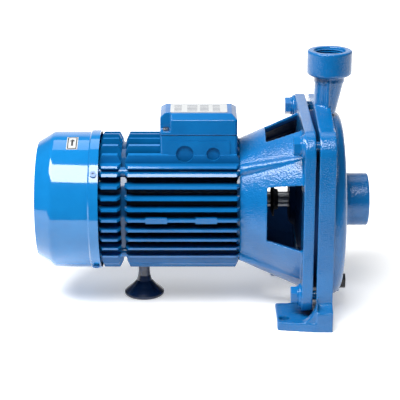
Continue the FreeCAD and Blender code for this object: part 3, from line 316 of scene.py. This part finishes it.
def eased(node, width):
    """Breaks the sharp edges of a CAD node with a small bevel."""
    bevel = NODES[node].modifiers.new("bevel", "BEVEL")
    bevel.width = width
    bevel.segments = 2
    bevel.limit_method = "ANGLE"
    bevel.angle_limit = math.radians(38)
    bevel.harden_normals = True


for node, obj in NODES.items():
    paint(obj, SLOT_OF[node])
    smooth(obj.data)
# The rear shield's paint carries painted shade down in the gaps between its fins.
shield_paint = painted("shield_paint", BLUE, BLUE_DEEP, 0.0, 0.07, gap_shade=SHIELD_GAP_SHADE)
NODES["rear_shield"].data.materials[0] = shield_paint

cast_copy("volute_casing", CAST_VOXEL, CAST_ROUNDS, CAST_WAVINESS)
bracket = cast_copy("motor_bracket", CAST_VOXEL, CAST_ROUNDS, CAST_WAVINESS)


def shade_inside(obj):
    """Painted shade: the dark inner paint put on the faces well inside the cone of the lantern's outer
    wall, where shade falls. Its edge is ragged on the inner face of the flange, because the cone's front
    end lies in that face."""
    (back, small), (front, large) = LANTERN
    mesh = obj.data
    centres = np.empty(len(mesh.polygons) * 3)
    mesh.polygons.foreach_get("center", centres)
    centres = centres.reshape(-1, 3)
    outer = small + (centres[:, 0] - back) * (large - small) / (front - back)
    reach = np.hypot(centres[:, 1], centres[:, 2] - AXIS)
    inside = (reach < outer - INNER_WALL) & (centres[:, 0] > back) & (centres[:, 0] < front)
    # The dark inner paint here is painted shade.
    mesh.materials.append(PAINTS["painted_cover"])
    mesh.polygons.foreach_set("material_index", inside.astype(np.int32))


shade_inside(bracket)
eased("motor_frame", EDGE)
eased("rear_shield", EDGE)
cast_copy("terminal_box_lid", LID_VOXEL, LID_ROUNDS, 0.0)

# ---------------------------------------------------------------- threads
THREAD_PITCH = 2.309 * MM
THREAD_DEPTH = 1.35 * MM


def thread(name, start, along, across, radius, turns):
    """A helical thread ridge inside a port, from its mouth inwards."""
    steps = 56
    along, across = Vector(along), Vector(across)
    third = along.cross(across)
    crest = radius - THREAD_DEPTH
    root = radius + 0.25 * MM
    profile = [(root, -0.46), (crest, -0.09), (crest, 0.09), (root, 0.46)]
    verts, faces = [], []
    for i in range(turns * steps + 1):
        angle = 2 * math.pi * i / steps
        out = across * math.cos(angle) + third * math.sin(angle)
        fade = min(1.0, i / 20, (turns * steps - i) / 20)
        for reach, offset in profile:
            depth = (i / steps + 0.6 + offset) * THREAD_PITCH
            verts.append(Vector(start) + along * depth + out * (root + (reach - root) * fade))
        if i:
            a = (i - 1) * 4
            for j in range(3):
                faces.append((a + j, a + j + 1, a + j + 5, a + j + 4))
            faces.append((a + 3, a, a + 4, a + 7))
    last = turns * steps * 4
    faces += [(3, 2, 1, 0), (last, last + 1, last + 2, last + 3)]
    mesh = bpy.data.meshes.new(name)
    mesh.from_pydata(verts, [], faces)
    smooth(mesh, 50)
    return piece(name, mesh, "root", SLOT_OF["volute_casing"])


for name, across in (("suction_port", (0, 1, 0)), ("discharge_port", (1, 0, 0))):
    port = MOUNTS[name]
    outward = Vector(port["axis"])
    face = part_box("volute_casing")[1]
    mouth = Vector(port["pos_m"])
    mouth += outward * (outward.dot(face) - outward.dot(mouth))
    thread(name + "_thread", mouth, -outward, across, port["dims"]["r_mm"] * MM, 7)

# ---------------------------------------------------------------- printed marks
def flat_piece(name, outlines, place, thickness, slot):
    """Thin printed shapes: each outline is a list of 2-D points, put into space by place(u, v, height)."""
    verts, faces = [], []
    for outline in outlines:
        n, base = len(outline), len(verts)
        verts += [place(u, v, 0.0) for u, v in outline] + [place(u, v, thickness) for u, v in outline]
        faces.append(tuple(base + n + i for i in range(n)))
        faces.append(tuple(base + n - 1 - i for i in range(n)))
        faces += [(base + i, base + (i + 1) % n, base + n + (i + 1) % n, base + n + i) for i in range(n)]
    mesh = bpy.data.meshes.new(name)
    mesh.from_pydata(verts, [], faces)
    return piece(name, mesh, "root", slot)


def bar(u, v, width, height):
    return [(u, v), (u + width, v), (u + width, v + height), (u, v + height)]


low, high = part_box("rotation_label")
LABEL_RADIUS = max(math.hypot(v.co.y, v.co.z - AXIS) for v in NODES["rotation_label"].data.vertices)
angles = [math.atan2(v.co.z - AXIS, -v.co.y) for v in NODES["rotation_label"].data.vertices]
LABEL_START = min(angles) * LABEL_RADIUS
LABEL_HEIGHT = max(angles) * LABEL_RADIUS - LABEL_START
LABEL_WIDTH = high.x - low.x


def on_label(u, v, height):
    """A point on the sticker: u along the motor, v up round the cover."""
    angle = (LABEL_START + v) / LABEL_RADIUS
    reach = LABEL_RADIUS + height - 0.02 * MM
    return (low.x + u, -reach * math.cos(angle), AXIS + reach * math.sin(angle))


rim = 1.1 * MM
inset = 0.9 * MM
wide, tall = LABEL_WIDTH - 2 * inset, LABEL_HEIGHT - 2 * inset
slices = 8
marks = []
for i in range(slices):
    v = inset + tall * i / slices
    marks.append(bar(inset, v, rim, tall / slices))
    marks.append(bar(inset + wide - rim, v, rim, tall / slices))
marks.append(bar(inset, inset, wide, rim))
marks.append(bar(inset, inset + tall - rim, wide, rim))
middle_u = LABEL_WIDTH / 2
shaft_low, shaft_high = LABEL_HEIGHT * 0.25, LABEL_HEIGHT * 0.6
for i in range(4):
    v = shaft_low + (shaft_high - shaft_low) * i / 4
    marks.append(bar(middle_u - 1.1 * MM, v, 2.2 * MM, (shaft_high - shaft_low) / 4))
arrow_tip = (middle_u, LABEL_HEIGHT * 0.78)
marks.append([(middle_u - 3 * MM, shaft_high), (middle_u + 3 * MM, shaft_high), arrow_tip])
flat_piece("rotation_arrow", marks, on_label, 0.07 * MM, "black_plastic")

low_plate, high_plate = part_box("nameplate")


def on_plate(u, v, height):
    return (low_plate.x + u, low_plate.y + v, high_plate.z + height - 0.02 * MM)


plate_w = high_plate.x - low_plate.x
plate_h = high_plate.y - low_plate.y
lines = []
for row in range(5):
    v = plate_h * (0.12 + 0.155 * row)
    for column in range(4):
        u = plate_w * (0.07 + 0.225 * column)
        lines.append(bar(u, v, plate_w * (0.13 + 0.05 * ((row * 3 + column * 2) % 3) / 2), plate_h * 0.05))
flat_piece("nameplate_lines", lines, on_plate, 0.06 * MM, "dark_plastic")

# ---------------------------------------------------------------- studio
CAMERA_HEIGHT = 0.502
CAMERA_REACH = 1.500
LENS = 128.2
CAMERA_SIDE = -2.2 * MM
AIM_DROP = 1.3 * MM
SWEEP = (0.20, 0.75)
GLOW = (0.36, 1.0)
TABLE_EDGE = 0.44
FLOOR_REACH = 12.0
BACK_SWEEP = (0.80, 0.94)
ROOM = (0.07, 0.075, 0.08, 1)
SWEEP_LIGHT = (0.95, 0.96, 1.0, 1)
KEY_AT, KEY_SIZE, KEY_POWER = (-0.42, -0.56, 1.29), (1.45, 0.62), 48
BACK_AT, BACK_SIZE, BACK_POWER = (0.1, 0.7, 1.40), (1.2, 0.7), 5


def studio():
    scene = bpy.context.scene
    camera = bpy.data.objects.new("camera", bpy.data.cameras.new("camera"))
    scene.collection.objects.link(camera)
    camera.data.lens = LENS
    camera.data.sensor_width = 36.0
    camera.location = (CAMERA_SIDE, -CAMERA_REACH, AXIS + CAMERA_HEIGHT)
    aim = Vector((CAMERA_SIDE, 0.0, AXIS - AIM_DROP))
    camera.rotation_euler = (aim - camera.location).to_track_quat("-Z", "Y").to_euler()
    scene.camera = camera

    floor_mesh = bpy.data.meshes.new("floor")
    side, front = FLOOR_REACH, -TABLE_EDGE
    corners = [(-side, front, 0), (side, front, 0), (side, side, 0), (-side, side, 0)]
    floor_mesh.from_pydata(corners, [], [(0, 1, 2, 3)])
    floor = bpy.data.objects.new("floor", floor_mesh)
    scene.collection.objects.link(floor)
    # Painted light: the floor glows, weaker near the pump and full white further out, and so also lights
    # the pump from below.
    s = Shader("glowing_floor_paper", (0.93, 0.93, 0.92), 0.6)
    s.color(s.mix(s.noise(8, 3), (0.92, 0.92, 0.915), (0.935, 0.935, 0.93)))
    away = s.tree.nodes.new("ShaderNodeVectorMath")
    away.operation = "LENGTH"
    s.link(s.point, away.inputs[0])
    far = s.tree.nodes.new("ShaderNodeMapRange")
    far.interpolation_type = "SMOOTHSTEP"
    s.link(away.outputs["Value"], far.inputs["Value"])
    far.inputs["From Min"].default_value = SWEEP[0]
    far.inputs["From Max"].default_value = SWEEP[1]
    far.inputs["To Min"].default_value = GLOW[0]
    far.inputs["To Max"].default_value = GLOW[1]
    s.set("Emission Color", (1, 1, 1, 1))
    s.link(far.outputs["Result"], s.shader.inputs["Emission Strength"])
    floor.data.materials.append(s.material)

    def softbox(name, at, aim_at, width, height, power):
        light = bpy.data.lights.new(name, "AREA")
        light.shape = "RECTANGLE"
        light.size = width
        light.size_y = height
        light.energy = power
        obj = bpy.data.objects.new(name, light)
        scene.collection.objects.link(obj)
        obj.location = at
        obj.rotation_euler = (Vector(aim_at) - Vector(at)).to_track_quat("-Z", "Y").to_euler()

    middle = (0, 0, AXIS)
    softbox("key", KEY_AT, middle, *KEY_SIZE, KEY_POWER)
    softbox("back", BACK_AT, middle, *BACK_SIZE, BACK_POWER)

    world = bpy.data.worlds.new("studio")
    scene.world = world
    world.use_nodes = True
    tree = world.node_tree
    sky = tree.nodes["Background"]
    sky.inputs["Strength"].default_value = 1.0
    heading = tree.nodes.new("ShaderNodeSeparateXYZ")
    tree.links.new(tree.nodes.new("ShaderNodeTexCoord").outputs["Generated"], heading.inputs[0])
    backwards = tree.nodes.new("ShaderNodeMapRange")
    backwards.interpolation_type = "SMOOTHSTEP"
    tree.links.new(heading.outputs["Y"], backwards.inputs["Value"])
    backwards.inputs["From Min"].default_value = BACK_SWEEP[0]
    backwards.inputs["From Max"].default_value = BACK_SWEEP[1]
    room = tree.nodes.new("ShaderNodeMix")
    room.data_type = "RGBA"
    tree.links.new(backwards.outputs["Result"], room.inputs[0])
    room.inputs[6].default_value = ROOM
    room.inputs[7].default_value = SWEEP_LIGHT
    ray = tree.nodes.new("ShaderNodeLightPath")
    seen = tree.nodes.new("ShaderNodeMix")
    seen.data_type = "RGBA"
    tree.links.new(ray.outputs["Is Camera Ray"], seen.inputs[0])
    tree.links.new(room.outputs[2], seen.inputs[6])
    seen.inputs[7].default_value = (1, 1, 1, 1)
    tree.links.new(seen.outputs[2], sky.inputs["Color"])
    scene.view_settings.view_transform = "Standard"


studio()
